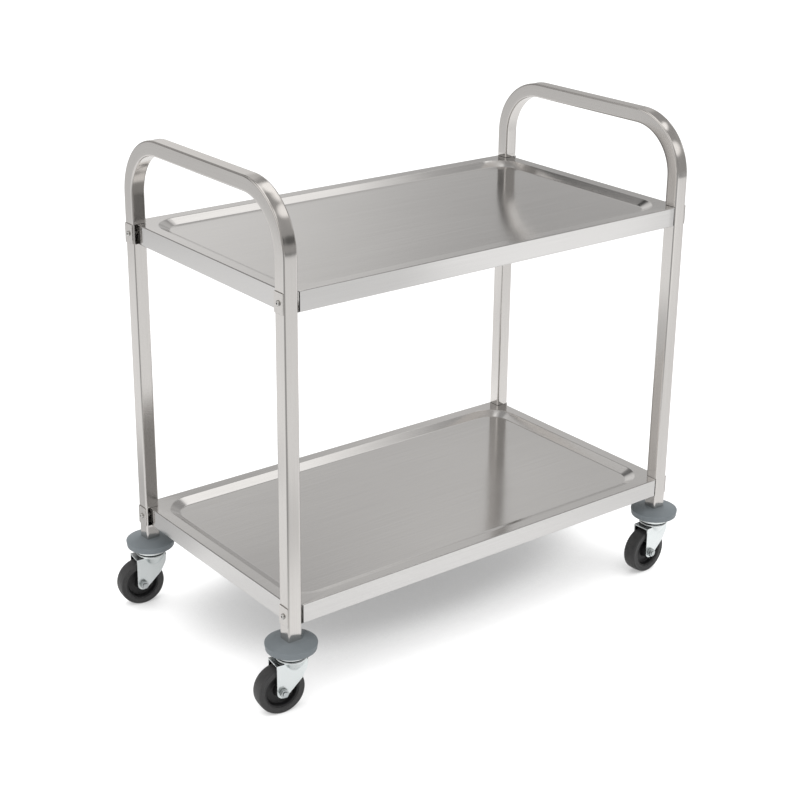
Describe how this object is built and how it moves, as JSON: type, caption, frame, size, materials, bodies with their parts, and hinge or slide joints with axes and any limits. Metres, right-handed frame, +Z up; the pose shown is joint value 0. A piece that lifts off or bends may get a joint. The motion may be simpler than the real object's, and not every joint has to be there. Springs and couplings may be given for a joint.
{
  "type": "two-tier serving trolley",
  "caption": "Serving trolley with an upper and a lower sunken tray shelf between two bent square-tube end frames that rise as handles, on swivel castors with round bumpers.",
  "frame": {"origin": "on the floor, in the middle of the rectangle that the trolley covers, castors at rest", "axes": "+X along the shelves, away from the end that the castors trail towards; +Y across the shelves, towards the back of the picture; +Z up"},
  "size_m": [0.9035, 0.5206, 0.841],
  "materials": {
    "tube_steel": "polished stainless steel tube",
    "sheet_steel": "satin stainless steel sheet",
    "plate_steel": "satin stainless steel",
    "screw_steel": "bright stainless steel",
    "bumper_rubber": "matt blue-grey non-marking rubber",
    "plug_plastic": "matt moulded plastic",
    "zinc_steel": "bright zinc-plated pressed steel",
    "ball_steel": "polished bearing steel",
    "axle_steel": "zinc-plated turned steel",
    "hub_plastic": "black moulded plastic",
    "tyre_rubber": "dark grey solid rubber"
  },
  "bodies": {
    "frame": {"left_end_frame": "tube_steel", "right_end_frame": "tube_steel", "upper_shelf": "sheet_steel", "lower_shelf": "sheet_steel", "upper_front_left_clamp_plate": "plate_steel", "upper_back_left_clamp_plate": "plate_steel", "upper_front_right_clamp_plate": "plate_steel", "upper_back_right_clamp_plate": "plate_steel", "lower_front_left_clamp_plate": "plate_steel", "lower_back_left_clamp_plate": "plate_steel", "lower_front_right_clamp_plate": "plate_steel", "lower_back_right_clamp_plate": "plate_steel", "shelf_screws": "screw_steel", "shelf_sleeve_nuts": "screw_steel", "front_left_bumper": "bumper_rubber", "front_left_stem_insert": "plug_plastic", "front_left_stem_bolt": "zinc_steel", "front_left_swivel_housing": "zinc_steel", "back_left_bumper": "bumper_rubber", "back_left_stem_insert": "plug_plastic", "back_left_stem_bolt": "zinc_steel", "back_left_swivel_housing": "zinc_steel", "front_right_bumper": "bumper_rubber", "front_right_stem_insert": "plug_plastic", "front_right_stem_bolt": "zinc_steel", "front_right_swivel_housing": "zinc_steel", "back_right_bumper": "bumper_rubber", "back_right_stem_insert": "plug_plastic", "back_right_stem_bolt": "zinc_steel", "back_right_swivel_housing": "zinc_steel"},
    "front_left_castor": {"front_left_swivel_balls": "ball_steel", "front_left_fork": "zinc_steel", "front_left_axle_bolt": "axle_steel", "front_left_axle_nut": "axle_steel", "front_left_axle_sleeve": "axle_steel"},
    "front_left_wheel": {"front_left_wheel_hub": "hub_plastic", "front_left_tyre": "tyre_rubber"},
    "back_left_castor": {"back_left_swivel_balls": "ball_steel", "back_left_fork": "zinc_steel", "back_left_axle_bolt": "axle_steel", "back_left_axle_nut": "axle_steel", "back_left_axle_sleeve": "axle_steel"},
    "back_left_wheel": {"back_left_wheel_hub": "hub_plastic", "back_left_tyre": "tyre_rubber"},
    "front_right_castor": {"front_right_swivel_balls": "ball_steel", "front_right_fork": "zinc_steel", "front_right_axle_bolt": "axle_steel", "front_right_axle_nut": "axle_steel", "front_right_axle_sleeve": "axle_steel"},
    "front_right_wheel": {"front_right_wheel_hub": "hub_plastic", "front_right_tyre": "tyre_rubber"},
    "back_right_castor": {"back_right_swivel_balls": "ball_steel", "back_right_fork": "zinc_steel", "back_right_axle_bolt": "axle_steel", "back_right_axle_nut": "axle_steel", "back_right_axle_sleeve": "axle_steel"},
    "back_right_wheel": {"back_right_wheel_hub": "hub_plastic", "back_right_tyre": "tyre_rubber"}
  },
  "joints": [
    {"name": "front_left_swivel", "type": "hinge", "parent": "frame", "child": "front_left_castor", "pos_m": [-0.389, -0.2185, 0.093], "axis": [0, 0, 1], "continuous": true},
    {"name": "front_left_roll", "type": "hinge", "parent": "front_left_castor", "child": "front_left_wheel", "pos_m": [-0.41079, -0.21544, 0.04], "axis": [0.1392, 0.9903, 0], "continuous": true},
    {"name": "back_left_swivel", "type": "hinge", "parent": "frame", "child": "back_left_castor", "pos_m": [-0.389, 0.2185, 0.093], "axis": [0, 0, 1], "continuous": true},
    {"name": "back_left_roll", "type": "hinge", "parent": "back_left_castor", "child": "back_left_wheel", "pos_m": [-0.41079, 0.22156, 0.04], "axis": [0.1392, 0.9903, 0], "continuous": true},
    {"name": "front_right_swivel", "type": "hinge", "parent": "frame", "child": "front_right_castor", "pos_m": [0.41, -0.2185, 0.093], "axis": [0, 0, 1], "continuous": true},
    {"name": "front_right_roll", "type": "hinge", "parent": "front_right_castor", "child": "front_right_wheel", "pos_m": [0.38803, -0.21965, 0.04], "axis": [-0.0523, 0.9986, 0], "continuous": true},
    {"name": "back_right_swivel", "type": "hinge", "parent": "frame", "child": "back_right_castor", "pos_m": [0.41, 0.2185, 0.093], "axis": [0, 0, 1], "continuous": true},
    {"name": "back_right_roll", "type": "hinge", "parent": "back_right_castor", "child": "back_right_wheel", "pos_m": [0.388, 0.2185, 0.04], "axis": [0, 1, 0], "continuous": true}
  ]
}
